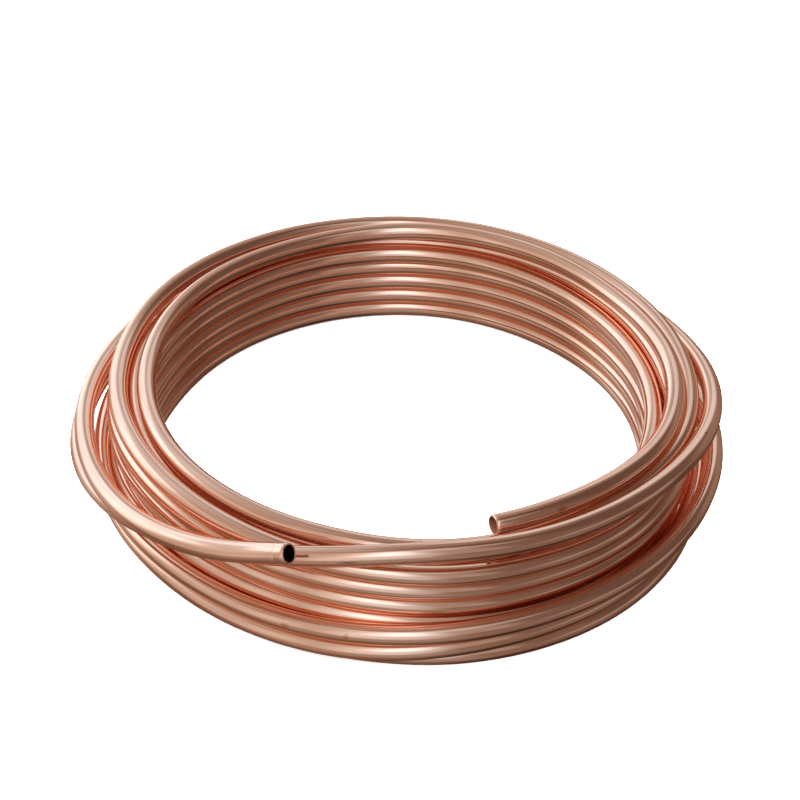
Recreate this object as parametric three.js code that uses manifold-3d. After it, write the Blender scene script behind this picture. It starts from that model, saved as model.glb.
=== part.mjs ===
// Loose-wound coil of soft copper tube, lying flat on one face.
// Units are millimetres, +Z is up, and the origin is on the floor under the middle of the coil's outline.
// The coil is one length of tube. Its closely packed turns are one turned solid whose scalloped section shows each turn,
// and the loose turns, with the two free tube ends, are swept along their own paths and joined to it.
import * as THREE from "three";
import { mergeVertices } from "three/addons/utils/BufferGeometryUtils.js";
import Module from "manifold-3d";

// Driving dimensions
const TUBE_OD = 12.7; // outside diameter of the tube, half an inch
const TUBE_WALL = 0.81; // wall thickness
const INNER_TURN_RADIUS = 172.0; // to the tube's centre, turns of the inner layer
const OUTER_TURN_RADIUS = 182.8; // to the tube's centre, turns of the outer layer, nested in the inner ones
const INNER_LEVELS = 5; // closely packed turns in the inner layer
const OUTER_LEVELS = 4; // closely packed turns in the outer layer
const PACKED_SHIFT_Y = 3.4; // how far behind the loose turns' axis the packed turns' axis lies
const RING_SEGMENTS = 60; // facets round the packed turns
const TUBE_SIDES = 10; // facets round a loose turn
const END_BORE_DEPTH = 45; // how far the bore is cut in at each free end

// Loose turns: [angle in degrees from +X, radius to the tube's centre, height of the tube's centre], both in tube diameters.
// The angle grows in the winding direction, anticlockwise seen from above.
const TOP_TURNS = [
  [-70, 13.09, 6.69], [-50.9, 13.57, 6.73], [-31.9, 14.15, 6.53], [-12.8, 14.40, 6.30], [6.2, 14.28, 6.16], [25.3, 13.93, 6.05], [44.3, 13.71, 6.11],
  [63.4, 13.61, 6.14], [82.4, 13.56, 6.11], [101.5, 13.42, 6.02], [120.5, 13.29, 6.05], [139.6, 13.21, 6.20], [158.6, 13.07, 6.30], [177.7, 12.92, 6.31],
  [196.8, 12.85, 6.30], [215.8, 12.76, 6.24], [234.9, 12.67, 6.14], [253.9, 12.70, 6.01], [273, 12.97, 5.81], [292, 13.37, 5.68], [311.1, 13.87, 5.68],
  [330.1, 14.64, 5.60], [349.2, 15.19, 5.56], [368.2, 15.17, 5.66], [387.3, 14.92, 5.81], [406.3, 14.68, 5.88], [425.4, 14.61, 5.88], [444.4, 14.62, 5.87],
  [463.5, 14.65, 5.90], [482.6, 14.67, 6.00], [501.6, 14.68, 6.12], [520.7, 14.57, 6.17], [539.7, 14.39, 6.15], [558.8, 14.21, 6.24], [577.8, 14.04, 6.23],
  [596.9, 13.94, 6.01], [615.9, 13.97, 5.70], [635, 14.14, 5.37], [654, 14.45, 5.02], [673.1, 14.81, 4.68], [692.1, 14.90, 4.53], [711.2, 14.63, 4.72],
  [730.2, 14.33, 5.01], [749.3, 14.22, 5.05], [768.4, 14.29, 4.95], [787.4, 14.41, 4.86], [806.5, 14.47, 4.81], [825.5, 14.43, 4.88], [844.6, 14.27, 5.09],
  [863.6, 14.04, 5.32], [882.7, 13.78, 5.47], [901.7, 13.53, 5.49], [920.8, 13.30, 5.40], [939.8, 13.10, 5.25], [958.9, 13.03, 5.08], [977.9, 13.04, 4.91],
  [997, 13.12, 4.76],
];
const LOW_OUTER_TURNS = [
  [2770, 14.25, 0.56], [2789.4, 14.51, 0.56], [2808.8, 14.99, 0.56], [2828.2, 15.50, 0.56], [2847.6, 15.85, 0.56], [2867.1, 15.79, 0.56], [2886.5, 15.46, 0.56],
  [2905.9, 15.11, 0.56], [2925.3, 14.85, 0.56], [2944.7, 14.74, 0.56], [2964.1, 14.75, 0.56], [2983.5, 14.87, 0.56], [3002.9, 15.15, 0.59], [3022.4, 15.52, 0.80],
  [3041.8, 15.80, 1.09], [3061.2, 15.74, 1.34], [3080.6, 15.35, 1.44], [3100, 15.05, 1.41], [3119.4, 14.98, 1.34], [3138.8, 15.05, 1.31], [3158.2, 15.12, 1.43],
  [3177.6, 15.33, 1.51], [3197.1, 15.69, 1.51], [3216.5, 15.94, 1.51], [3235.9, 16.11, 1.40], [3255.3, 16.16, 1.17], [3274.7, 16.08, 0.94], [3294.1, 15.91, 0.83],
  [3313.5, 15.73, 0.91], [3332.9, 15.56, 1.16], [3352.4, 15.33, 1.48], [3371.8, 15.03, 1.82], [3391.2, 14.77, 2.20], [3410.6, 14.61, 2.54], [3430, 14.50, 2.77],
];
const UPPER_OUTER_TURNS = [
  [4260, 14.44, 3.89], [4278.5, 14.82, 3.60], [4296.9, 15.11, 3.42], [4315.4, 15.26, 3.37], [4333.8, 15.38, 3.38], [4352.3, 15.53, 3.38], [4370.7, 15.68, 3.32],
  [4389.2, 15.77, 3.19], [4407.6, 15.79, 3.04], [4426.1, 15.76, 2.93], [4444.5, 15.71, 2.85], [4463, 15.67, 2.74], [4481.4, 15.65, 2.60], [4499.9, 15.57, 2.48],
  [4518.4, 15.41, 2.45], [4536.8, 15.21, 2.49], [4555.3, 15.06, 2.50], [4573.7, 15.05, 2.43], [4592.2, 15.16, 2.43], [4610.6, 15.40, 2.49], [4629.1, 15.81, 2.49],
  [4647.5, 16.32, 2.40], [4666, 16.72, 2.22], [4684.4, 17.02, 1.94], [4702.9, 17.09, 1.72], [4721.3, 16.92, 1.63], [4739.8, 16.62, 1.64], [4758.2, 16.38, 1.74],
  [4776.7, 16.31, 1.89], [4795.2, 16.40, 2.09], [4813.6, 16.57, 2.31], [4832.1, 16.66, 2.54], [4850.5, 16.67, 2.85], [4869, 16.62, 3.39], [4887.4, 16.26, 4.21],
  [4905.9, 15.64, 5.17], [4924.3, 14.99, 6.09], [4942.8, 14.44, 6.70], [4961.2, 14.36, 6.79], [4979.7, 14.72, 6.59], [4998.1, 15.27, 6.40], [5016.6, 15.95, 6.07],
  [5035, 16.39, 5.56], [5053.5, 16.19, 4.98], [5072, 15.78, 4.57], [5090.4, 15.51, 4.39], [5108.9, 15.40, 4.36], [5127.3, 15.40, 4.40], [5145.8, 15.45, 4.48],
  [5164.2, 15.52, 4.55], [5182.7, 15.58, 4.59], [5201.1, 15.73, 4.69], [5219.6, 16.04, 4.94], [5238, 16.24, 5.20], [5256.5, 16.35, 5.62], [5274.9, 16.22, 6.47],
  [5293.4, 16.17, 7.98],
];

const D = TUBE_OD;
const HALF_FACET = Math.tan(Math.PI / 8) / 2; // half the side of an octagon one unit across its flats

// Section of the packed turns: octagonal turns one above the other, the outer layer half a turn higher and nested in the inner one.
function packedTurnsProfile() {
  const ri = INNER_TURN_RADIUS,
    ro = OUTER_TURN_RADIUS,
    h = HALF_FACET * D,
    r = D / 2,
    top = INNER_LEVELS * D,
    points = [];
  points.push([ri - h, 0], [ri + h, 0], [ri + r, r - h], [ro - h, r]);
  for (let k = 0; k < OUTER_LEVELS; k++) {
    const z = (k + 1) * D;
    points.push([ro + h, z - r], [ro + r, z - h], [ro + r, z + h]);
  }
  points.push([ro + h, OUTER_LEVELS * D + r], [ro - h, OUTER_LEVELS * D + r]);
  points.push([ri + r, top - r + h], [ri + h, top], [ri - h, top]);
  for (let k = INNER_LEVELS - 1; k >= 0; k--) {
    const z = (k + 0.5) * D;
    points.push([ri - r, z + h], [ri - r, z - h]);
    if (k > 0) points.push([ri - h, z - r]);
  }
  points.push([ri - h, 0]);
  return points.map(([x, y]) => new THREE.Vector2(x, y));
}

function packedTurns() {
  const geometry = new THREE.LatheGeometry(packedTurnsProfile(), RING_SEGMENTS);
  geometry.rotateX(Math.PI / 2); // the lathe axis from Y to Z
  geometry.translate(0, PACKED_SHIFT_Y, 0);
  return geometry;
}

function routeOf(table) {
  return new THREE.CatmullRomCurve3(
    table.map(([degrees, radius, height]) => {
      const a = (degrees * Math.PI) / 180;
      return new THREE.Vector3(radius * D * Math.cos(a), radius * D * Math.sin(a), height * D);
    }),
    false,
    "centripetal",
  );
}

// A regular polygon with the given distance between opposite flats.
function section(acrossFlats, sides = TUBE_SIDES) {
  const r = acrossFlats / 2 / Math.cos(Math.PI / sides);
  return new THREE.Shape(
    Array.from({ length: sides }, (_, i) => {
      const a = ((i + 0.5) / sides) * 2 * Math.PI;
      return new THREE.Vector2(r * Math.cos(a), r * Math.sin(a));
    }),
  );
}

function sweep(route, acrossFlats, steps) {
  return new THREE.ExtrudeGeometry(section(acrossFlats), { steps, bevelEnabled: false, extrudePath: route });
}

// The last or first stretch of a route, run on straight past the free end so that a bore cut along it breaks through.
function boreRoute(route, atStart) {
  const total = route.getLength(),
    points = [];
  for (let i = 0; i <= 10; i++) {
    const s = ((END_BORE_DEPTH / total) * i) / 10;
    points.push(route.getPointAt(atStart ? s : 1 - s));
  }
  const tip = points[0],
    out = route.getTangentAt(atStart ? 0 : 1).multiplyScalar(atStart ? -1 : 1);
  points.unshift(tip.clone().addScaledVector(out, 2));
  return new THREE.CatmullRomCurve3(points, false, "centripetal");
}

const wasm = await Module();
wasm.setup();

function solid(geometry) {
  const g = geometry.clone();
  g.deleteAttribute("normal");
  g.deleteAttribute("uv");
  const merged = mergeVertices(g, 1e-3);
  const made = new wasm.Manifold(
    new wasm.Mesh({
      numProp: 3,
      vertProperties: new Float32Array(merged.attributes.position.array),
      triVerts: new Uint32Array(merged.index.array),
    }),
  );
  if (made.volume() > 0) return made;
  const flipped = new Uint32Array(merged.index.array);
  for (let i = 0; i < flipped.length; i += 3) [flipped[i + 1], flipped[i + 2]] = [flipped[i + 2], flipped[i + 1]];
  return new wasm.Manifold(
    new wasm.Mesh({ numProp: 3, vertProperties: new Float32Array(merged.attributes.position.array), triVerts: flipped }),
  );
}

function geometryOf(manifold) {
  const mesh = manifold.getMesh(),
    n = mesh.numProp,
    v = new Float32Array(mesh.numVert * 3);
  for (let i = 0; i < mesh.numVert; i++) v.set(mesh.vertProperties.subarray(i * n, i * n + 3), i * 3);
  const g = new THREE.BufferGeometry();
  g.setAttribute("position", new THREE.BufferAttribute(v, 3));
  g.setIndex(new THREE.BufferAttribute(new Uint32Array(mesh.triVerts), 1));
  return g;
}

const topRoute = routeOf(TOP_TURNS);
const upperRoute = routeOf(UPPER_OUTER_TURNS);
const bore = D - 2 * TUBE_WALL;

let coil = solid(packedTurns())
  .add(solid(sweep(topRoute, D, 100)))
  .add(solid(sweep(routeOf(LOW_OUTER_TURNS), D, 62)))
  .add(solid(sweep(upperRoute, D, 98)))
  .subtract(solid(sweep(boreRoute(topRoute, true), bore, 6)))
  .subtract(solid(sweep(boreRoute(upperRoute, false), bore, 6)));

// Slivers left where two turns graze are closed up.
coil = coil.simplify(0.002);

const geometry = geometryOf(coil);
geometry.computeBoundingBox();
const box = geometry.boundingBox;
geometry.translate(-(box.min.x + box.max.x) / 2, -(box.min.y + box.max.y) / 2, -box.min.z);
geometry.computeVertexNormals();

const copper = new THREE.MeshStandardMaterial({ color: 0xc98d72, metalness: 1.0, roughness: 0.28, name: "copper" });
const tubeCoil = new THREE.Mesh(geometry, copper);
tubeCoil.name = "tube_coil";

const part = new THREE.Group();
part.add(tubeCoil);

export default part;
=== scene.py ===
"""Copper tube coil: one continuous soft copper tube wound loosely by hand, lying flat on a pale floor."""

import math

import bpy
import numpy as np
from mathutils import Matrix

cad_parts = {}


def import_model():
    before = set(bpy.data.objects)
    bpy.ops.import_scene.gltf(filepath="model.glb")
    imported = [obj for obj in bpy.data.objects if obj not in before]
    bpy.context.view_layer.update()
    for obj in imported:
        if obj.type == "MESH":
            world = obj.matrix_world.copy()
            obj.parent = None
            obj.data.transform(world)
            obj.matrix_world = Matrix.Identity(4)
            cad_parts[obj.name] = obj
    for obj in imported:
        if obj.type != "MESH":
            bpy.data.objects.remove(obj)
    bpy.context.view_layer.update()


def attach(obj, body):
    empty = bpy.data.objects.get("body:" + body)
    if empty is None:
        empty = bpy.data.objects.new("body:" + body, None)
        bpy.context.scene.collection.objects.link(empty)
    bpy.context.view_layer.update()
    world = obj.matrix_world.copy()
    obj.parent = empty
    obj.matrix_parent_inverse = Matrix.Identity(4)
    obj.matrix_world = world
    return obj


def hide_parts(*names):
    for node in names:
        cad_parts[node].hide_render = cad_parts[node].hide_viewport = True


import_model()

# ------------------------------------------------------------------ sizes (metres)
OD = 0.0127                        # outside diameter of the tube
WALL = 0.00081                     # its wall
CENTRE = (-0.0018141, -0.0055922)  # the winding axis in the frame of the part
SIDES = 22                         # facets round the outside
BORE_SIDES = 10                    # facets round the bore
STEP = 2.0                         # degrees of winding between two rings of vertices
FIRST, LAST = -70.0, 5293.4        # where the tube is cut, in degrees of winding

# The route of the tube's centreline, every few degrees of winding from the lower end to the upper
# end: distance from the winding axis and height above the floor, in thousandths of a tube diameter.
ROUTE_START = -72
ROUTE_STEP = 3
ROUTE = (
    "13022,6649 13086,6670 13152,6688 13221,6702 13294,6712 13372,6717 13457,6714 13547,6705 13642,6689 13739,6667 13838,6639 13935,6607 "
    "14028,6572 14115,6534 14193,6495 14259,6456 14312,6418 14352,6383 14378,6349 14393,6319 14399,6291 14398,6265 14390,6242 14376,6220 "
    "14354,6200 14325,6179 14289,6159 14245,6138 14194,6118 14137,6097 14077,6079 14016,6063 13957,6052 13902,6047 13853,6048 13810,6054 "
    "13774,6066 13745,6082 13721,6100 13700,6117 13683,6131 13667,6142 13652,6148 13639,6150 13627,6149 13615,6145 13606,6140 13597,6135 "
    "13589,6130 13581,6124 13573,6118 13562,6111 13550,6102 13534,6090 13514,6076 13492,6059 13466,6042 13440,6026 13413,6013 13388,6004 "
    "13364,6001 13343,6004 13324,6013 13308,6027 13294,6045 13281,6068 13269,6092 13257,6117 13244,6142 13231,6167 13217,6191 13201,6213 "
    "13183,6232 13163,6250 13142,6264 13119,6276 13094,6286 13069,6293 13042,6298 13015,6302 12989,6303 12964,6304 12941,6304 12922,6303 "
    "12905,6302 12892,6301 12880,6300 12870,6298 12861,6294 12852,6290 12842,6283 12831,6275 12818,6265 12803,6253 12785,6241 12766,6226 "
    "12746,6211 12726,6195 12706,6178 12686,6161 12668,6143 12651,6124 12637,6105 12625,6085 12616,6065 12611,6043 12610,6021 12615,5996 "
    "12626,5970 12644,5941 12669,5910 12701,5877 12741,5841 12786,5805 12837,5769 12893,5734 12953,5701 13015,5672 13079,5648 13144,5629 "
    "13210,5617 13276,5610 13345,5608 13415,5611 13490,5617 13571,5624 13660,5631 13757,5635 13863,5637 13978,5634 14101,5629 14231,5620 "
    "14363,5610 14497,5598 14627,5587 14752,5576 14866,5568 14969,5562 15055,5558 15124,5556 15174,5558 15207,5562 15223,5570 15226,5582 "
    "15220,5598 15206,5618 15187,5641 15164,5667 15136,5695 15103,5722 15065,5747 15021,5770 14973,5790 14923,5807 14873,5822 14825,5837 "
    "14783,5852 14746,5865 14714,5875 14686,5883 14663,5886 14643,5887 14628,5887 14617,5887 14610,5886 14607,5886 14606,5885 14607,5884 "
    "14609,5881 14612,5878 14615,5875 14619,5872 14623,5871 14627,5870 14631,5870 14635,5873 14640,5877 14645,5885 14650,5895 14656,5909 "
    "14661,5924 14666,5939 14669,5955 14672,5971 14674,5988 14676,6006 14678,6025 14680,6044 14681,6064 14681,6083 14680,6102 14677,6120 "
    "14672,6137 14665,6152 14653,6164 14636,6172 14612,6175 14583,6173 14551,6168 14518,6161 14487,6155 14458,6150 14433,6148 14411,6150 "
    "14391,6155 14370,6163 14347,6173 14321,6186 14291,6199 14257,6212 14222,6224 14186,6233 14151,6240 14119,6242 14090,6240 14065,6233 "
    "14042,6221 14022,6203 14004,6179 13986,6151 13970,6118 13956,6080 13945,6038 13939,5993 13937,5945 13940,5894 13948,5841 13962,5788 "
    "13981,5734 14004,5679 14030,5625 14060,5570 14091,5515 14124,5459 14159,5405 14196,5350 14233,5297 14271,5247 14308,5199 14346,5153 "
    "14385,5109 14426,5065 14470,5020 14518,4973 14570,4924 14626,4872 14682,4819 14739,4766 14792,4714 14841,4665 14881,4621 14910,4584 "
    "14928,4555 14931,4536 14923,4526 14902,4527 14872,4538 14833,4558 14788,4587 14739,4623 14686,4667 14631,4715 14577,4765 14523,4817 "
    "14472,4867 14424,4915 14381,4957 14343,4993 14310,5022 14282,5043 14260,5056 14243,5062 14231,5061 14224,5054 14222,5043 14223,5028 "
    "14229,5012 14239,4996 14253,4980 14269,4964 14286,4950 14306,4935 14326,4921 14346,4906 14366,4891 14385,4876 14403,4862 14419,4849 "
    "14434,4836 14446,4826 14456,4817 14464,4811 14468,4807 14471,4806 14470,4809 14467,4815 14461,4824 14453,4838 14441,4855 14427,4876 "
    "14410,4900 14391,4928 14368,4959 14344,4993 14317,5029 14287,5066 14256,5105 14223,5144 14188,5183 14152,5222 14115,5260 14077,5296 "
    "14038,5330 13998,5362 13957,5391 13917,5417 13876,5441 13836,5461 13796,5477 13756,5491 13718,5501 13680,5508 13643,5511 13606,5510 "
    "13570,5506 13533,5498 13497,5486 13460,5472 13423,5453 13385,5433 13346,5410 13307,5386 13268,5362 13228,5337 13190,5312 13154,5287 "
    "13119,5262 13087,5236 13057,5209 13030,5181 13004,5152 12981,5123 12960,5092 12942,5061 12927,5029 12916,4997 12910,4965 12907,4933 "
    "12909,4902 12916,4871 12926,4841 12941,4812 12959,4783 12980,4756 13004,4730 13030,4705 13056,4681 13084,4659 13112,4639 13139,4620 "
    "13167,4603 13194,4588 13220,4575 13246,4565 13271,4556 13296,4548 13319,4543 13341,4539 13362,4536 13382,4534 13401,4532 13418,4531 "
    "13433,4530 13447,4529 13459,4528 13470,4527 13478,4526 13485,4524 13490,4522 13493,4520 13495,4518 13494,4515 13492,4512 13488,4509 "
    "13483,4505 13476,4501 13468,4496 13459,4491 13450,4486 13440,4481 13431,4475 13421,4470 13412,4465 13404,4460 13397,4457 13392,4454 "
    "13390,4453 13389,4453 13391,4454 13396,4457 13402,4461 13411,4466 13420,4471 13431,4477 13441,4483 13452,4488 13463,4493 13472,4498 "
    "13481,4502 13489,4505 13495,4508 13499,4510 13502,4512 13504,4513 13504,4514 13502,4515 13499,4514 13495,4514 13490,4513 13485,4511 "
    "13479,4509 13472,4507 13467,4504 13462,4501 13457,4498 13455,4495 13453,4492 13454,4490 13457,4488 13461,4486 13467,4485 13475,4485 "
    "13484,4485 13494,4487 13504,4489 13514,4491 13523,4495 13531,4498 13536,4502 13540,4505 13540,4507 13537,4508 13531,4507 13521,4504 "
    "13508,4498 13491,4489 13470,4477 13446,4462 13418,4444 13388,4424 13355,4401 13320,4375 13284,4347 13247,4317 13211,4286 13175,4253 "
    "13141,4219 13110,4184 13082,4149 13058,4113 13037,4077 13021,4042 13007,4006 12997,3971 12990,3936 12985,3902 12984,3868 12985,3836 "
    "12988,3805 12994,3775 13003,3746 13014,3720 13028,3695 13043,3671 13060,3650 13079,3631 13099,3613 13120,3598 13142,3584 13166,3572 "
    "13190,3562 13215,3553 13240,3546 13266,3540 13292,3536 13318,3532 13344,3529 13370,3527 13396,3526 13422,3525 13447,3524 13472,3523 "
    "13496,3523 13519,3522 13542,3522 13564,3522 13585,3521 13605,3521 13624,3521 13642,3521 13659,3522 13676,3522 13691,3522 13705,3523 "
    "13717,3523 13729,3524 13740,3524 13749,3524 13757,3524 13764,3524 13770,3524 13775,3524 13779,3524 13782,3524 13783,3524 13784,3523 "
    "13785,3523 13784,3523 13783,3523 13781,3524 13778,3524 13775,3524 13771,3524 13767,3525 13762,3525 13758,3526 13753,3526 13748,3526 "
    "13743,3527 13738,3527 13734,3527 13729,3527 13725,3527 13722,3527 13719,3527 13716,3528 13714,3528 13712,3528 13711,3527 13710,3527 "
    "13710,3526 13710,3525 13710,3524 13711,3523 13712,3521 13713,3519 13714,3517 13716,3514 13717,3512 13719,3510 13721,3508 13723,3506 "
    "13726,3505 13729,3505 13732,3505 13735,3506 13738,3508 13740,3510 13741,3513 13742,3515 13740,3517 13736,3518 13730,3517 13721,3515 "
    "13709,3509 13694,3501 13676,3490 13655,3475 13630,3458 13602,3438 13572,3415 13540,3390 13506,3362 13470,3332 13434,3301 13397,3267 "
    "13360,3232 13324,3196 13288,3159 13253,3122 13220,3084 13190,3046 13162,3008 13137,2970 13115,2934 13097,2897 13084,2862 13074,2828 "
    "13068,2796 13065,2765 13065,2736 13069,2709 13075,2684 13083,2661 13094,2639 13107,2620 13121,2603 13138,2588 13156,2574 13175,2562 "
    "13195,2552 13217,2543 13239,2536 13262,2530 13286,2526 13310,2522 13334,2519 13358,2517 13382,2516 13406,2515 13430,2514 13453,2514 "
    "13475,2513 13496,2513 13517,2513 13537,2512 13555,2512 13573,2512 13589,2512 13604,2513 13617,2513 13629,2513 13640,2514 13650,2515 "
    "13658,2515 13666,2516 13672,2517 13677,2517 13681,2517 13685,2518 13687,2518 13689,2518 13691,2518 13692,2518 13693,2518 13693,2518 "
    "13693,2518 13694,2518 13694,2518 13694,2518 13694,2518 13695,2518 13695,2518 13696,2518 13697,2518 13698,2518 13699,2518 13700,2518 "
    "13701,2518 13701,2518 13702,2518 13702,2518 13702,2518 13702,2518 13701,2518 13700,2518 13698,2518 13696,2518 13693,2518 13689,2518 "
    "13685,2517 13680,2516 13675,2515 13670,2514 13665,2512 13659,2511 13654,2509 13648,2507 13643,2505 13639,2504 13634,2502 13631,2501 "
    "13628,2500 13625,2500 13623,2501 13621,2503 13620,2505 13619,2508 13619,2510 13619,2513 13619,2515 13620,2516 13622,2514 13623,2511 "
    "13625,2504 13626,2495 13627,2482 13627,2467 13625,2449 13622,2429 13617,2406 13609,2382 13600,2357 13589,2329 13576,2301 13562,2271 "
    "13545,2240 13528,2207 13509,2174 13489,2139 13468,2104 13448,2068 13427,2031 13406,1993 13385,1956 13366,1919 13347,1882 13330,1847 "
    "13313,1812 13299,1779 13286,1748 13275,1718 13266,1691 13259,1665 13255,1642 13252,1621 13252,1601 13254,1584 13259,1569 13265,1556 "
    "13274,1545 13285,1535 13298,1528 13312,1521 13328,1516 13346,1513 13365,1510 13385,1508 13405,1507 13427,1506 13449,1505 13471,1505 "
    "13493,1504 13515,1504 13536,1503 13557,1503 13577,1503 13595,1503 13613,1503 13630,1503 13645,1504 13658,1504 13671,1505 13681,1506 "
    "13691,1507 13699,1507 13705,1508 13710,1508 13714,1509 13717,1509 13720,1509 13721,1509 13722,1509 13722,1509 13721,1509 13720,1509 "
    "13719,1509 13717,1509 13715,1509 13712,1508 13710,1508 13707,1508 13704,1508 13701,1508 13697,1509 13694,1509 13691,1509 13689,1509 "
    "13687,1509 13685,1509 13684,1509 13684,1508 13684,1508 13686,1508 13688,1508 13692,1509 13696,1509 13701,1509 13707,1509 13714,1509 "
    "13722,1508 13730,1508 13738,1508 13747,1507 13755,1507 13763,1507 13770,1506 13776,1506 13780,1506 13783,1505 13784,1504 13783,1503 "
    "13781,1503 13775,1502 13768,1502 13759,1502 13748,1503 13735,1504 13721,1506 13705,1507 13687,1508 13668,1508 13649,1506 13629,1502 "
    "13608,1496 13588,1487 13568,1476 13549,1461 13530,1444 13512,1425 13495,1404 13479,1381 13462,1356 13446,1330 13430,1302 13413,1272 "
    "13397,1241 13381,1208 13365,1174 13350,1139 13335,1103 13321,1066 13308,1028 13296,990 13284,951 13274,913 13265,875 13257,839 "
    "13250,804 13244,770 13239,738 13235,708 13232,680 13231,654 13230,630 13231,608 13233,589 13236,572 13240,557 13245,544 "
    "13251,533 13258,524 13266,516 13275,510 13285,506 13296,503 13308,501 13320,500 13333,500 13347,500 13361,500 13376,500 "
    "13392,500 13409,500 13426,500 13444,500 13462,500 13481,500 13500,500 13520,500 13540,500 13560,500 13581,500 13602,500 "
    "13623,500 13644,500 13664,500 13684,500 13702,500 13718,500 13730,500 13737,500 13741,500 13739,500 13734,500 13725,500 "
    "13714,500 13702,500 13691,500 13682,500 13675,500 13672,500 13672,500 13676,500 13682,500 13690,500 13700,500 13709,500 "
    "13718,500 13725,500 13730,500 13733,500 13734,500 13732,500 13729,500 13724,500 13719,500 13713,500 13707,500 13702,500 "
    "13698,500 13695,500 13693,500 13693,500 13693,500 13694,500 13694,500 13693,500 13690,501 13683,502 13673,502 13660,503 "
    "13645,502 13629,502 13614,501 13603,500 13598,499 13599,500 13606,500 13620,500 13639,500 13663,500 13691,500 13722,499 "
    "13754,499 13787,499 13820,500 13853,500 13885,500 13915,500 13944,500 13972,500 13997,500 14021,500 14044,500 14065,500 "
    "14084,500 14101,500 14117,500 14132,500 14145,500 14157,500 14169,501 14180,502 14192,504 14206,507 14221,511 14240,514 "
    "14262,518 14289,521 14322,524 14361,525 14408,524 14461,521 14523,517 14591,511 14663,505 14739,501 14816,500 14893,499 "
    "14971,500 15050,501 15129,502 15209,502 15289,502 15368,501 15445,500 15520,500 15590,500 15655,500 15713,500 15765,500 "
    "15808,500 15841,500 15864,500 15874,500 15871,499 15854,499 15827,499 15791,499 15748,499 15702,499 15653,500 15602,500 "
    "15550,500 15498,500 15446,500 15393,500 15342,500 15290,500 15240,500 15190,500 15141,499 15093,500 15047,500 15003,500 "
    "14962,500 14924,500 14890,500 14859,500 14832,500 14809,500 14790,500 14774,500 14761,500 14752,500 14744,500 14740,500 "
    "14738,500 14737,500 14739,500 14743,500 14749,500 14757,500 14768,500 14782,500 14800,500 14823,500 14849,500 14880,503 "
    "14916,508 14956,515 15001,526 15049,541 15100,559 15154,581 15210,606 15268,634 15326,665 15385,699 15444,736 15501,775 "
    "15557,815 15610,858 15660,901 15705,945 15745,989 15778,1033 15805,1077 15823,1120 15832,1160 15830,1199 15817,1236 15792,1269 "
    "15756,1299 15708,1325 15651,1347 15588,1365 15522,1379 15456,1389 15391,1396 15329,1400 15271,1400 15218,1399 15169,1396 15124,1393 "
    "15083,1388 15047,1382 15018,1374 14997,1364 14982,1354 14972,1343 14966,1333 14964,1325 14965,1318 14969,1312 14977,1307 14990,1302 "
    "15006,1298 15024,1297 15042,1299 15059,1306 15074,1318 15086,1336 15095,1358 15103,1383 15112,1409 15124,1433 15141,1455 15164,1472 "
    "15193,1486 15230,1496 15273,1504 15322,1508 15377,1511 15434,1512 15494,1511 15554,1510 15612,1509 15666,1508 15717,1508 15762,1509 "
    "15803,1510 15840,1511 15874,1511 15908,1510 15943,1506 15980,1497 16019,1484 16058,1465 16096,1441 16132,1412 16164,1379 16192,1345 "
    "16215,1310 16234,1276 16247,1243 16254,1211 16257,1179 16254,1147 16247,1116 16235,1084 16219,1053 16200,1023 16177,994 16151,966 "
    "16122,940 16092,916 16060,896 16028,879 15995,865 15962,856 15929,851 15896,850 15864,853 15833,861 15803,874 15773,891 "
    "15744,913 15716,939 15688,969 15660,1003 15633,1040 15605,1080 15576,1123 15547,1168 15516,1215 15484,1262 15450,1310 15414,1358 "
    "15376,1406 15336,1454 15294,1502 15250,1551 15206,1600 15160,1650 15114,1702 15068,1754 15023,1809 14978,1865 14933,1922 14891,1981 "
    "14850,2041 14811,2103 14775,2166 14742,2229 14713,2294 14688,2359 14667,2424 14650,2490 14636,2554 14625,2619 14617,2682 14609,2743 "
    "14602,2803 14595,2860 14587,2914 14577,2964 14566,3011 14552,3052 14535,3089 14515,3119 14491,3142 14465,3158 14435,3167 14403,3168 "
    "14369,3161 14334,3148 14299,3128 14265,3102 14231,3071 14200,3035 14171,2995 14146,2952 14124,2905 14106,2856 14092,2805 14082,2752 "
    "14077,2698 14075,2643 14076,2587 14080,2532 14088,2476 14098,2420 14110,2365 14126,2309 14145,2254 14166,2199 14191,2144 14219,2089 "
    "14250,2034 14285,1980 14324,1926 14366,1875 14412,1825 14461,1778 14512,1733 14564,1690 14617,1650 14668,1612 14717,1577 14762,1545 "
    "14803,1516 14840,1491 14872,1469 14898,1450 14919,1433 14935,1419 14945,1407 14952,1397 14956,1390 14959,1385 14960,1384 14961,1385 "
    "14961,1390 14962,1398 14962,1409 14962,1423 14962,1438 14961,1453 14961,1468 14960,1481 14960,1491 14960,1499 14961,1504 14961,1507 "
    "14962,1508 14962,1507 14962,1505 14962,1502 14961,1499 14960,1498 14958,1499 14955,1505 14950,1517 14945,1536 14937,1563 14929,1599 "
    "14919,1642 14907,1693 14895,1751 14881,1815 14867,1883 14852,1956 14836,2033 14820,2113 14805,2195 14789,2278 14775,2363 14760,2448 "
    "14748,2534 14736,2619 14726,2704 14719,2787 14713,2869 14710,2949 14710,3027 14711,3103 14714,3176 14719,3247 14724,3315 14729,3381 "
    "14734,3444 14738,3503 14740,3560 14740,3614 14739,3665 14735,3714 14729,3760 14721,3803 14710,3845 14697,3884 14680,3921 14661,3956 "
    "14639,3990 14613,4022 14584,4052 14552,4080 14515,4106 14476,4131 14432,4153 14386,4172 14337,4188 14287,4200 14239,4207 14194,4207 "
    "14153,4200 14119,4186 14090,4164 14067,4135 14047,4100 14032,4060 14020,4016 14010,3969 14003,3920 13997,3870 13994,3819 13992,3767 "
    "13993,3715 13997,3661 14005,3607 14016,3551 14031,3495 14050,3438 14074,3381 14100,3324 14130,3268 14162,3214 14195,3163 14230,3115 "
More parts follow.
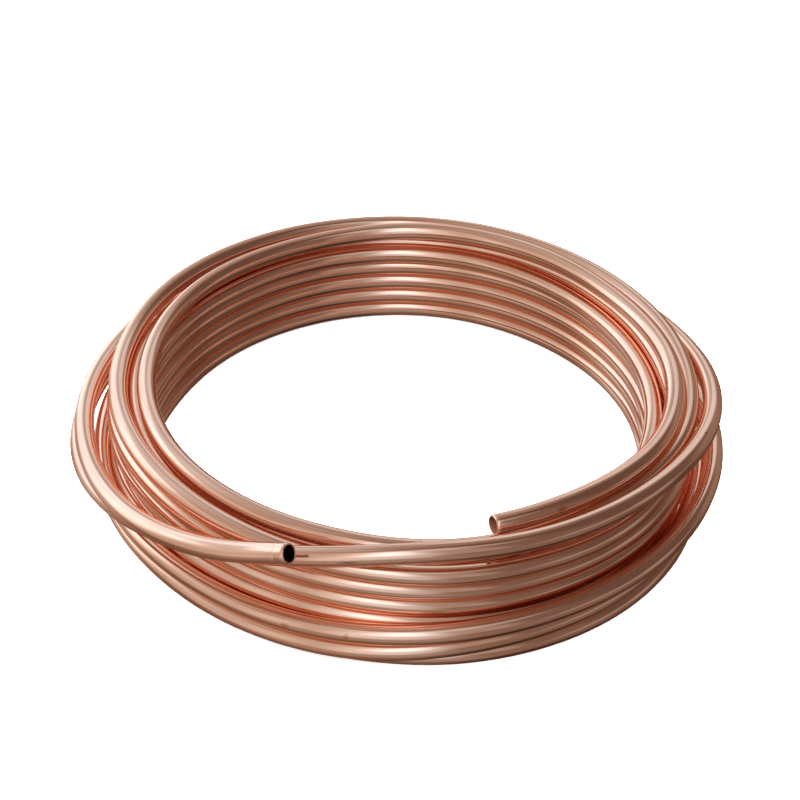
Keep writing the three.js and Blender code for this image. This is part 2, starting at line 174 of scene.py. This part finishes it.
    "14268,3069 14308,3024 14353,2978 14403,2932 14457,2885 14516,2837 14578,2789 14642,2741 14707,2694 14771,2648 14833,2605 14892,2565 "
    "14945,2529 14991,2497 15029,2470 15059,2448 15082,2429 15097,2415 15106,2403 15109,2394 15106,2389 15099,2386 15088,2386 15074,2390 "
    "15057,2396 15038,2405 15017,2418 14996,2433 14974,2451 14952,2472 14930,2496 14909,2522 14888,2551 14869,2583 14851,2616 14834,2651 "
    "14819,2688 14805,2726 14793,2765 14783,2805 14775,2846 14768,2888 14763,2930 14760,2972 14758,3015 14758,3059 14759,3103 14760,3147 "
    "14761,3192 14763,3238 14763,3285 14763,3332 14761,3381 14758,3430 14754,3481 14747,3532 14739,3584 14729,3637 14717,3691 14705,3745 "
    "14690,3800 14676,3856 14660,3912 14645,3969 14630,4026 14616,4083 14604,4139 14594,4196 14586,4252 14581,4307 14578,4362 14579,4416 "
    "14581,4469 14585,4521 14591,4572 14597,4622 14603,4670 14608,4717 14613,4763 14615,4808 14616,4851 14614,4893 14608,4933 14599,4972 "
    "14584,5009 14565,5045 14540,5078 14509,5110 14472,5139 14430,5166 14383,5189 14335,5208 14286,5222 14239,5230 14196,5231 14159,5227 "
    "14127,5215 14101,5197 14079,5173 14063,5144 14051,5109 14043,5069 14037,5026 14033,4979 14029,4930 14025,4879 14021,4828 14017,4776 "
    "14013,4724 14012,4671 14014,4617 14022,4562 14035,4506 14054,4448 14078,4391 14105,4334 14136,4278 14168,4224 14201,4173 14235,4125 "
    "14271,4079 14310,4034 14353,3988 14400,3943 14450,3896 14505,3849 14564,3800 14626,3752 14689,3704 14753,3658 14815,3615 14874,3575 "
    "14930,3539 14980,3508 15026,3481 15067,3458 15104,3439 15137,3424 15166,3411 15192,3401 15216,3393 15238,3386 15258,3382 15278,3379 "
    "15296,3377 15315,3377 15334,3377 15353,3378 15373,3379 15394,3380 15416,3382 15438,3382 15462,3382 15486,3382 15511,3380 15537,3376 "
    "15562,3371 15588,3364 15613,3355 15638,3344 15661,3330 15683,3315 15703,3298 15722,3279 15738,3259 15752,3237 15763,3214 15772,3190 "
    "15779,3165 15784,3141 15787,3117 15789,3093 15789,3070 15788,3048 15786,3027 15783,3007 15779,2989 15775,2971 15769,2954 15763,2939 "
    "15756,2924 15749,2910 15741,2896 15732,2883 15723,2870 15713,2856 15704,2841 15695,2825 15687,2809 15680,2790 15674,2771 15670,2750 "
    "15668,2729 15666,2707 15666,2684 15666,2660 15666,2636 15665,2612 15661,2589 15656,2565 15647,2542 15635,2521 15620,2501 15603,2482 "
    "15582,2466 15558,2451 15532,2439 15504,2429 15473,2421 15441,2415 15406,2411 15369,2408 15331,2408 15292,2408 15251,2410 15211,2414 "
    "15171,2418 15133,2423 15099,2428 15069,2433 15045,2437 15028,2439 15017,2440 15013,2438 15014,2435 15019,2431 15027,2427 15036,2424 "
    "15047,2421 15058,2420 15071,2420 15085,2422 15100,2425 15119,2429 15140,2435 15165,2442 15194,2450 15227,2459 15264,2467 15307,2475 "
    "15354,2483 15405,2490 15460,2495 15519,2500 15584,2502 15655,2501 15731,2498 15812,2491 15897,2481 15985,2469 16072,2454 16158,2438 "
    "16237,2421 16311,2404 16379,2386 16445,2365 16509,2341 16574,2313 16639,2279 16703,2241 16764,2198 16821,2153 16873,2106 16921,2058 "
    "16963,2011 16999,1964 17031,1920 17056,1878 17075,1838 17087,1803 17093,1770 17092,1742 17085,1716 17070,1694 17050,1675 17023,1660 "
    "16990,1647 16952,1637 16910,1630 16865,1625 16817,1623 16767,1624 16717,1627 16666,1633 16617,1641 16570,1651 16525,1663 16483,1677 "
    "16444,1693 16410,1711 16379,1731 16354,1753 16333,1776 16317,1801 16307,1827 16302,1855 16301,1884 16306,1914 16315,1945 16328,1977 "
    "16345,2010 16366,2043 16390,2077 16415,2112 16443,2147 16471,2182 16499,2218 16526,2254 16553,2291 16577,2327 16599,2364 16619,2401 "
    "16636,2439 16650,2478 16661,2517 16669,2558 16675,2601 16677,2647 16678,2695 16677,2748 16675,2805 16672,2868 16668,2938 16663,3014 "
    "16657,3098 16649,3190 16637,3290 16617,3399 16586,3514 16545,3637 16492,3766 16428,3902 16354,4043 16272,4190 16182,4340 16087,4494 "
    "15989,4651 15887,4809 15783,4968 15677,5127 15571,5286 15464,5443 15357,5597 15250,5748 15144,5893 15039,6033 14936,6165 14835,6287 "
    "14738,6400 14646,6501 14561,6589 14485,6665 14421,6726 14371,6773 14338,6804 14321,6819 14322,6819 14339,6807 14371,6784 14415,6755 "
    "14467,6722 14527,6687 14591,6654 14660,6622 14732,6592 14809,6563 14891,6533 14978,6502 15071,6470 15168,6436 15270,6399 15374,6359 "
    "15482,6315 15593,6267 15705,6214 15818,6155 15930,6089 16038,6018 16139,5942 16227,5861 16299,5776 16354,5688 16389,5597 16404,5503 "
    "16400,5407 16376,5309 16336,5212 16283,5115 16221,5023 16154,4935 16084,4853 16014,4778 15946,4710 15880,4650 15817,4598 15759,4552 "
    "15706,4512 15656,4479 15612,4451 15572,4428 15536,4409 15505,4394 15478,4382 15455,4374 15436,4368 15421,4366 15409,4365 15400,4366 "
    "15394,4369 15391,4374 15390,4380 15390,4388 15393,4397 15397,4406 15403,4417 15410,4428 15417,4440 15426,4452 15435,4465 15446,4477 "
    "15456,4490 15468,4502 15479,4514 15491,4525 15503,4535 15514,4545 15525,4553 15535,4561 15545,4567 15554,4573 15564,4579 15574,4584 "
    "15586,4591 15601,4600 15619,4611 15642,4625 15670,4644 15704,4667 15745,4696 15791,4731 15842,4770 15895,4813 15947,4857 15996,4901 "
    "16041,4944 16082,4987 16119,5029 16153,5072 16185,5115 16215,5159 16244,5206 16270,5257 16294,5312 16314,5374 16331,5442 16344,5519 "
    "16350,5607 16349,5707 16340,5820 16322,5947 16298,6089 16268,6245 16235,6417 16199,6602 16140,6793 16061,6990 16000,7211 15994,7475 "
    "16081,7799 16271,8186 16472,8579 "
)


def centreline():
    """Points along the tube (metres), and how far along it each one is."""
    table = np.array([[float(v) for v in pair.split(",")] for pair in ROUTE.split()]) / 1000.0
    known = ROUTE_START + ROUTE_STEP * np.arange(len(table))
    turn = np.arange(FIRST, LAST + 1e-6, STEP)
    if LAST - turn[-1] > 0.3 * STEP:
        turn = np.append(turn, LAST)
    # a cubic through the table's points (Catmull-Rom)
    at = (turn - known[0]) / ROUTE_STEP
    k = np.clip(np.floor(at).astype(int), 0, len(table) - 2)
    f = (at - k)[:, None]
    pad = np.vstack([2 * table[0] - table[1], table, 2 * table[-1] - table[-2]])
    p0, p1, p2, p3 = pad[k], pad[k + 1], pad[k + 2], pad[k + 3]
    rz = 0.5 * (2 * p1 + (p2 - p0) * f + (2 * p0 - 5 * p1 + 4 * p2 - p3) * f**2 + (3 * p1 - p0 - 3 * p2 + p3) * f**3)
    a = np.radians(turn)
    points = np.stack([rz[:, 0] * np.cos(a), rz[:, 0] * np.sin(a), rz[:, 1]], -1) * OD
    points[:, :2] += CENTRE
    return points


def frames(points):
    """Unit tangent, outward and upward directions at each point."""
    t = np.gradient(points, axis=0)
    t /= np.linalg.norm(t, axis=1)[:, None]
    out = points - np.array([CENTRE[0], CENTRE[1], 0.0])
    out[:, 2] = 0
    out -= (out * t).sum(1)[:, None] * t
    out /= np.linalg.norm(out, axis=1)[:, None]
    up = np.cross(out, t)
    up *= np.sign(up[:, 2].mean())
    return t, out, up


def skin(points, radius, sides, along):
    """Vertices, quads, and the coordinate that the material uses: metres along, and the place round the tube."""
    t, out, up = frames(points)
    phi = 2 * math.pi * np.arange(sides) / sides
    c, s = np.cos(phi), np.sin(phi)
    v = points[:, None] + radius[:, None, None] * (out[:, None] * c[None, :, None] + up[:, None] * s[None, :, None])
    co = np.stack([np.repeat(along[:, None], sides, 1), np.repeat(c[None], len(points), 0), np.repeat(s[None], len(points), 0)], -1)
    i = np.arange(len(points) - 1)[:, None] * sides
    j = np.arange(sides)[None]
    q = np.stack([i + j, i + (j + 1) % sides, i + sides + (j + 1) % sides, i + sides + j], -1).reshape(-1, 4)
    return v.reshape(-1, 3), q, co.reshape(-1, 3)


def with_ends(points, near, extra):
    """The same line with closely spaced points at given distances from each end."""
    seg = np.linalg.norm(np.diff(points, axis=0), axis=1)
    s = np.r_[0, np.cumsum(seg)]
    keep = s[(s > max(extra) * 1.3) & (s < s[-1] - max(extra) * 1.3)]
    want = np.r_[np.array(extra), keep, s[-1] - np.array(extra)[::-1]]
    return np.stack([np.interp(want, s, points[:, k]) for k in range(3)], -1), want, s[-1]


def tube(name):
    line = centreline()
    # rings close to each end carry the cut: a rolled-in rim and the faint grooves of the cutter's rollers
    e = OD * np.array([0.0, 0.012, 0.03, 0.055, 0.085, 0.12, 0.17, 0.24, 0.32, 0.41, 0.50, 0.53, 0.56, 0.59, 0.62, 0.70, 0.85, 1.05])
    pts, s, total = with_ends(line, 0, e)
    d = np.minimum(s, total - s) / OD
    rim = np.interp(d, [0.0, 0.012, 0.03, 0.055, 0.085, 0.12, 0.17, 0.24], [0.436, 0.452, 0.466, 0.478, 0.487, 0.493, 0.498, 0.5])
    near_upper = s > total / 2
    groove = np.where(near_upper, 0.007, 0.0) * np.exp(-(((d - 0.56) / 0.05) ** 2))
    v1, q1, c1 = skin(pts, OD * (rim - groove), SIDES, s)
    bore = OD / 2 - WALL
    inner = np.interp(d, [0.0, 0.012, 0.03, 0.055, 0.10, 0.20, 0.3], [0.412 * OD, 0.402 * OD, 0.400 * OD, 0.405 * OD, 0.418 * OD, bore, bore])
    v2, q2, c2 = skin(pts, inner, BORE_SIDES, s)
    c2[:, 0] -= 50.0                   # marks the bore for the material
    # the lower end is cut a little out of square
    lean = np.array([0.0, -0.78, 0.62])
    t = frames(pts)[0]
    for v, sides in ((v1, SIDES), (v2, BORE_SIDES)):
        off = v.reshape(-1, sides, 3) - pts[:, None]
        fade = np.clip(1.0 - s / OD / 0.9, 0.0, 1.0) ** 2
        v += ((off @ lean * fade[:, None] * 0.22)[..., None] * t[:, None]).reshape(-1, 3)
    n1 = len(v1)
    faces = [tuple(f) for f in q1.tolist()] + [tuple(f[::-1]) for f in (q2 + n1).tolist()]
    # the two cut faces join the outside to the bore
    def ring(outer, innr, flip):
        a = [(k / SIDES, outer + k) for k in range(SIDES)]
        b = [(k / BORE_SIDES, innr + k) for k in range(BORE_SIDES)]
        i = j = 0
        while i < SIDES or j < BORE_SIDES:
            ta = (i + 1) / SIDES if i < SIDES else 9
            tb = (j + 1) / BORE_SIDES if j < BORE_SIDES else 9
            oa, ob = outer + i % SIDES, innr + j % BORE_SIDES
            if ta <= tb:
                f = (oa, outer + (i + 1) % SIDES, ob); i += 1
            else:
                f = (oa, innr + (j + 1) % BORE_SIDES, ob); j += 1
            faces.append(f[::-1] if flip else f)
    ring(0, n1, True)
    ring(n1 - SIDES, n1 + len(v2) - BORE_SIDES, False)
    verts = np.vstack([v1, v2])
    co = np.vstack([c1, c2])
    mesh = bpy.data.meshes.new(name)
    mesh.from_pydata(verts.tolist(), [], faces)
    mesh.validate()
    att = mesh.attributes.new("tube_place", "FLOAT_VECTOR", "POINT")
    att.data.foreach_set("vector", co.astype(np.float32).ravel())
    mesh.polygons.foreach_set("use_smooth", np.ones(len(mesh.polygons), bool))
    mesh.update()
    obj = bpy.data.objects.new(name, mesh)
    bpy.context.scene.collection.objects.link(obj)
    return obj


def copper():
    m = bpy.data.materials.new("satin_copper")
    m.use_nodes = True
    n, l = m.node_tree.nodes, m.node_tree.links
    bsdf = n["Principled BSDF"]
    bsdf.inputs["Metallic"].default_value = 1.0
    place = n.new("ShaderNodeAttribute"); place.attribute_name = "tube_place"
    def mapped(scale):
        k = n.new("ShaderNodeMapping"); k.inputs["Scale"].default_value = scale
        l.new(place.outputs["Vector"], k.inputs["Vector"])
        return k.outputs["Vector"]
    def noise(vec, scale, detail=4.0, rough=0.55):
        k = n.new("ShaderNodeTexNoise"); k.inputs["Scale"].default_value = scale
        k.inputs["Detail"].default_value = detail; k.inputs["Roughness"].default_value = rough
        l.new(vec, k.inputs["Vector"])
        return k.outputs["Fac"]
    def remap(fac, a, b, lo, hi):
        k = n.new("ShaderNodeMapRange")
        for name, val in (("From Min", a), ("From Max", b), ("To Min", lo), ("To Max", hi)):
            k.inputs[name].default_value = val
        l.new(fac, k.inputs["Value"])
        return k.outputs["Result"]
    # faint drawing lines along the tube, slow patches of tarnish, and fine handling marks
    lines = noise(mapped((3.0, 9.0, 9.0)), 6.0, 5.0, 0.65)
    patches = noise(mapped((14.0, 1.0, 1.0)), 1.5, 3.0, 0.5)
    ramp = n.new("ShaderNodeValToRGB")
    ramp.color_ramp.elements[0].position = 0.30; ramp.color_ramp.elements[0].color = (0.88, 0.556, 0.424, 1)
    ramp.color_ramp.elements[1].position = 0.70; ramp.color_ramp.elements[1].color = (0.95, 0.648, 0.518, 1)
    l.new(patches, ramp.inputs["Fac"])
    # a few small dark specks
    specks = remap(noise(mapped((130.0, 1.2, 1.2)), 3.0, 1.0, 0.5), 0.79, 0.83, 0.0, 0.6)
    mix = n.new("ShaderNodeMix"); mix.data_type = "RGBA"
    l.new(specks, mix.inputs[0])
    l.new(ramp.outputs["Color"], mix.inputs[6])
    mix.inputs[7].default_value = (0.30, 0.16, 0.11, 1)
    # single stains, and one brown smear that is a painted reflection: place on the tube, half length in metres, half
    # width round the tube, colour, strength
    surface = mix.outputs[2]
    for at, long, wide, colour, strength in (
        ((15.9615, 0.990, 0.143), 0.0056, 0.085, (0.26, 0.22, 0.15, 1), 0.85),
        # a brown smear on the lower part of a front turn: a painted reflection, not a stain
        ((12.3192, 0.998, 0.064), 0.0075, 0.2, (0.42, 0.25, 0.13, 1), 0.65),
        ((14.6576, 0.941, 0.338), 0.0017, 0.3, (0.48, 0.27, 0.16, 1), 0.5),
        ((14.6210, 0.970, 0.243), 0.0026, 0.25, (0.5, 0.22, 0.14, 1), 0.55),
        ((16.2226, 0.276, 0.961), 0.0008, 0.13, (0.22, 0.14, 0.1, 1), 0.85),
        ((0.0408, 0.894, 0.447), 0.0028, 0.25, (0.5, 0.14, 0.07, 1), 0.6),
    ):
        off = n.new("ShaderNodeVectorMath"); off.operation = "SUBTRACT"
        l.new(place.outputs["Vector"], off.inputs[0]); off.inputs[1].default_value = at
        scale = n.new("ShaderNodeVectorMath"); scale.operation = "MULTIPLY"
        l.new(off.outputs["Vector"], scale.inputs[0]); scale.inputs[1].default_value = (1 / long, 1 / wide, 1 / wide)
        far = n.new("ShaderNodeVectorMath"); far.operation = "LENGTH"
        l.new(scale.outputs["Vector"], far.inputs[0])
        ragged = n.new("ShaderNodeMath"); ragged.operation = "ADD"
        l.new(far.outputs["Value"], ragged.inputs[0])
        l.new(remap(noise(mapped((900.0, 6.0, 6.0)), 1.0, 2.0, 0.6), 0.3, 0.7, -0.35, 0.35), ragged.inputs[1])
        # mixes in each mark: the real stains and the painted reflection alike
        stain_and_painted_reflection = n.new("ShaderNodeMix"); stain_and_painted_reflection.data_type = "RGBA"
        l.new(remap(ragged.outputs[0], 1.35, 0.55, 0.0, strength), stain_and_painted_reflection.inputs[0])
        l.new(surface, stain_and_painted_reflection.inputs[6])
        stain_and_painted_reflection.inputs[7].default_value = colour
        surface = stain_and_painted_reflection.outputs[2]
    # the bore is dull and brown
    sep = n.new("ShaderNodeSeparateXYZ"); l.new(place.outputs["Vector"], sep.inputs["Vector"])
    bore = remap(sep.outputs["X"], -44.0, -46.0, 0.0, 1.0)
    inside = n.new("ShaderNodeMix"); inside.data_type = "RGBA"
    l.new(bore, inside.inputs[0])
    l.new(surface, inside.inputs[6])
    inside.inputs[7].default_value = (0.13, 0.045, 0.03, 1)
    l.new(inside.outputs[2], bsdf.inputs["Base Color"])
    l.new(remap(bore, 0.0, 1.0, 1.0, 0.15), bsdf.inputs["Metallic"])
    bsdf.inputs["Specular Tint"].default_value = (1.0, 0.80, 0.68, 1)
    rough = n.new("ShaderNodeMath"); rough.operation = "MAXIMUM"
    l.new(remap(lines, 0.3, 0.7, 0.10, 0.16), rough.inputs[0])
    l.new(remap(bore, 0.0, 1.0, 0.0, 0.6), rough.inputs[1])
    l.new(rough.outputs[0], bsdf.inputs["Roughness"])
    bump = n.new("ShaderNodeBump"); bump.inputs["Strength"].default_value = 0.05; bump.inputs["Distance"].default_value = 0.0002
    l.new(lines, bump.inputs["Height"])
    l.new(bump.outputs["Normal"], bsdf.inputs["Normal"])
    return m


def floor():
    mesh = bpy.data.meshes.new("floor")
    s = 12.0
    mesh.from_pydata([(-s, -s, 0), (s, -s, 0), (s, s, 0), (-s, s, 0)], [], [(0, 1, 2, 3)])
    obj = bpy.data.objects.new("floor", mesh)
    bpy.context.scene.collection.objects.link(obj)
    m = bpy.data.materials.new("pale_floor")
    m.use_nodes = True
    b = m.node_tree.nodes["Principled BSDF"]
    b.inputs["Base Color"].default_value = (0.86, 0.86, 0.86, 1)
    b.inputs["Roughness"].default_value = 0.9
    b.inputs["Specular IOR Level"].default_value = 0.0
    b.inputs["Emission Color"].default_value = (1, 1, 1, 1)
    b.inputs["Emission Strength"].default_value = 0.4
    mesh.materials.append(m)
    obj.visible_glossy = False
    return obj


def backdrop():
    """A plain round white wall, only seen when the camera looks along the floor."""
    n, r, high = 96, 11.0, 9.0
    ring = [(r * math.cos(2 * math.pi * k / n), r * math.sin(2 * math.pi * k / n)) for k in range(n)]
    mesh = bpy.data.meshes.new("backdrop")
    mesh.from_pydata([(x, y, 0.0) for x, y in ring] + [(x, y, high) for x, y in ring], [],
                     [(k, (k + 1) % n, n + (k + 1) % n, n + k) for k in range(n)])
    obj = bpy.data.objects.new("backdrop", mesh)
    bpy.context.scene.collection.objects.link(obj)
    m = bpy.data.materials.new("white_wall")
    m.use_nodes = True
    b = m.node_tree.nodes["Principled BSDF"]
    b.inputs["Base Color"].default_value = (0.0, 0.0, 0.0, 1)
    b.inputs["Roughness"].default_value = 1.0
    b.inputs["Specular IOR Level"].default_value = 0.0
    b.inputs["Emission Color"].default_value = (1, 1, 1, 1)
    b.inputs["Emission Strength"].default_value = 1.0
    mesh.materials.append(m)
    obj.visible_glossy = obj.visible_diffuse = obj.visible_shadow = False
    return obj


def area(name, place, target, size, watts, colour=(1, 1, 1)):
    d = bpy.data.lights.new(name, "AREA")
    d.shape = "RECTANGLE"
    d.size, d.size_y = size
    d.energy = watts
    d.color = colour
    o = bpy.data.objects.new(name, d)
    bpy.context.scene.collection.objects.link(o)
    o.location = place
    from mathutils import Vector
    o.rotation_mode = "QUATERNION"
    o.rotation_quaternion = (Vector(target) - Vector(place)).to_track_quat("-Z", "Y")
    return o


def world():
    """A dim studio room with a few large soft panels: the bright tall one stands behind the camera,
    a wide one stands behind the coil on the left, and the right-hand side is left dark."""
    w = bpy.data.worlds.new("studio")
    bpy.context.scene.world = w
    w.use_nodes = True
    n, l = w.node_tree.nodes, w.node_tree.links
    co = n.new("ShaderNodeTexCoord")
    sep = n.new("ShaderNodeSeparateXYZ")
    l.new(co.outputs["Generated"], sep.inputs["Vector"])

    def ease(value, a, b, lo=0.0, hi=1.0):
        k = n.new("ShaderNodeMapRange")
        k.interpolation_type = "SMOOTHSTEP"
        for name, val in (("From Min", a), ("From Max", b), ("To Min", lo), ("To Max", hi)):
            k.inputs[name].default_value = val
        l.new(value, k.inputs["Value"])
        return k.outputs["Result"]

    def maths(op, a, b):
        k = n.new("ShaderNodeMath"); k.operation = op
        for i, v in enumerate((a, b)):
            if isinstance(v, float):
                k.inputs[i].default_value = v
            else:
                l.new(v, k.inputs[i])
        return k.outputs[0]

    x, y, z = sep.outputs
    level = maths("SQRT", maths("ADD", maths("MULTIPLY", x, x), maths("ADD", maths("MULTIPLY", y, y), 0.002)), 0.0)

    def bearing(azimuth, outer, inner):
        """1 within inner degrees of a compass direction, falling to 0 at outer degrees."""
        a = math.radians(azimuth)
        along = maths("ADD", maths("MULTIPLY", x, math.cos(a)), maths("MULTIPLY", y, math.sin(a)))
        return ease(maths("DIVIDE", along, level), math.cos(math.radians(outer)), math.cos(math.radians(inner)))

    def height(low, rise, fall, high):
        """1 between the elevations rise and fall, 0 below low and above high."""
        d = lambda v: math.sin(math.radians(v))
        return maths("MULTIPLY", ease(z, d(low), d(rise)), ease(z, d(high), d(fall)))

    def window(strength, across, tall):
        return maths("MULTIPLY", maths("MULTIPLY", across, tall), strength)

    # the room: dim and even, darker towards the ground
    total = ease(z, -0.5, 0.3, 0.05, 0.15)
    for part in (
        window(0.15, bearing(-140, 95, 50), height(-89, -85, -32, -8)),
        window(0.17, bearing(-80, 95, 50), height(-52, -36, -4, 12)),
        window(0.08, bearing(80, 92, 50), height(-89, -78, -22, 2)),
        window(0.07, bearing(178, 125, 85), height(-20, 10, 80, 90)),
        window(0.08, bearing(-100, 35, 15), height(-34, -22, -4, 6)),
        # the tall panel behind the camera, brightest in the middle
        window(1.00, bearing(-93, 15, 5), height(22, 42, 66, 80)),
        window(0.35, bearing(-96, 24, 10), height(-18, 10, 50, 70)),
        window(0.38, bearing(-110, 36, 16), height(-12, 12, 68, 86)),
        window(0.36, bearing(-72, 64, 32), height(54, 67, 83, 89)),
        window(0.26, bearing(-68, 16, 7), height(4, 18, 72, 84)),
        # the wide panel on the left, and its glow overhead
        window(0.40, bearing(-170, 52, 28), height(-30, -12, 28, 44)),
        window(0.08, bearing(-165, 45, 20), height(28, 40, 60, 75)),
        window(0.86, bearing(145, 43, 26), height(-10, 2, 33, 43)),
        window(0.24, bearing(130, 95, 50), height(12, 24, 36, 48)),
        window(0.26, bearing(135, 50, 25), height(28, 38, 52, 66)),
        window(0.22, bearing(170, 65, 32), height(28, 52, 86, 90)),
        window(0.16, bearing(100, 65, 32), height(28, 52, 86, 90)),
        # the strip behind the coil and the lit ground in front of it
        window(0.75, bearing(108, 28, 14), height(-34, -22, 6, 18)),
        window(0.30, bearing(120, 60, 32), height(-58, -38, 14, 32)),
        window(0.17, bearing(50, 38, 16), height(-32, -16, 16, 32)),
        window(0.46, bearing(74, 18, 11), height(14, 24, 38, 44)),
        window(0.10, bearing(-6, 12, 4), height(-26, -14, 8, 18)),
        window(0.14, bearing(-12, 42, 22), height(-9, -3, 5, 11)),
        window(0.06, bearing(-44, 24, 10), height(0, 12, 80, 88)),
    ):
        total = maths("ADD", total, part)
    tint = n.new("ShaderNodeValToRGB")
    e = tint.color_ramp.elements
    e[0].position, e[0].color = 0.07, (1.0, 0.66, 0.52, 1)
    e[1].position, e[1].color = 0.75, (0.80, 0.90, 1.0, 1)
    for where, colour in ((0.15, (1.0, 0.77, 0.63, 1)), (0.30, (0.94, 0.91, 0.90, 1)), (0.45, (0.86, 0.92, 0.98, 1))):
        e.new(where).color = colour
    l.new(maths("MULTIPLY", total, 0.5), tint.inputs["Fac"])
    # the front left of the room is warmer
    warm = n.new("ShaderNodeMix"); warm.data_type = "RGBA"; warm.blend_type = "MULTIPLY"
    l.new(bearing(-150, 60, 32), warm.inputs[0])
    l.new(tint.outputs["Color"], warm.inputs[6])
    warm.inputs[7].default_value = (1.06, 0.94, 0.84, 1)
    l.new(warm.outputs[2], n["Background"].inputs["Color"])
    l.new(total, n["Background"].inputs["Strength"])


def camera():
    d = bpy.data.cameras.new("camera")
    d.sensor_width = 36.0
    d.lens = 36.0 * 1562.81 / 800.0
    d.clip_start, d.clip_end = 0.05, 50
    o = bpy.data.objects.new("camera", d)
    bpy.context.scene.collection.objects.link(o)
    e = 0.674863
    o.location = (0.002706 + CENTRE[0], -0.81947 + CENTRE[1], 0.70875)
    o.rotation_euler = (math.pi / 2 - e, 0, 0)
    bpy.context.scene.camera = o


coil = tube("copper_tube")
coil.data.materials.append(copper())
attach(coil, "root")
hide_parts("tube_coil")

floor()
backdrop()
world()
top = area("overhead_softbox", (0.0, 0.0, 2.6), (0, 0, 0), (6.0, 6.0), 900)
top.visible_glossy = top.visible_camera = False
camera()
bpy.context.scene.cycles.glossy_bounces = 10      # light goes deep between the turns
bpy.context.scene.view_settings.view_transform = "Standard"
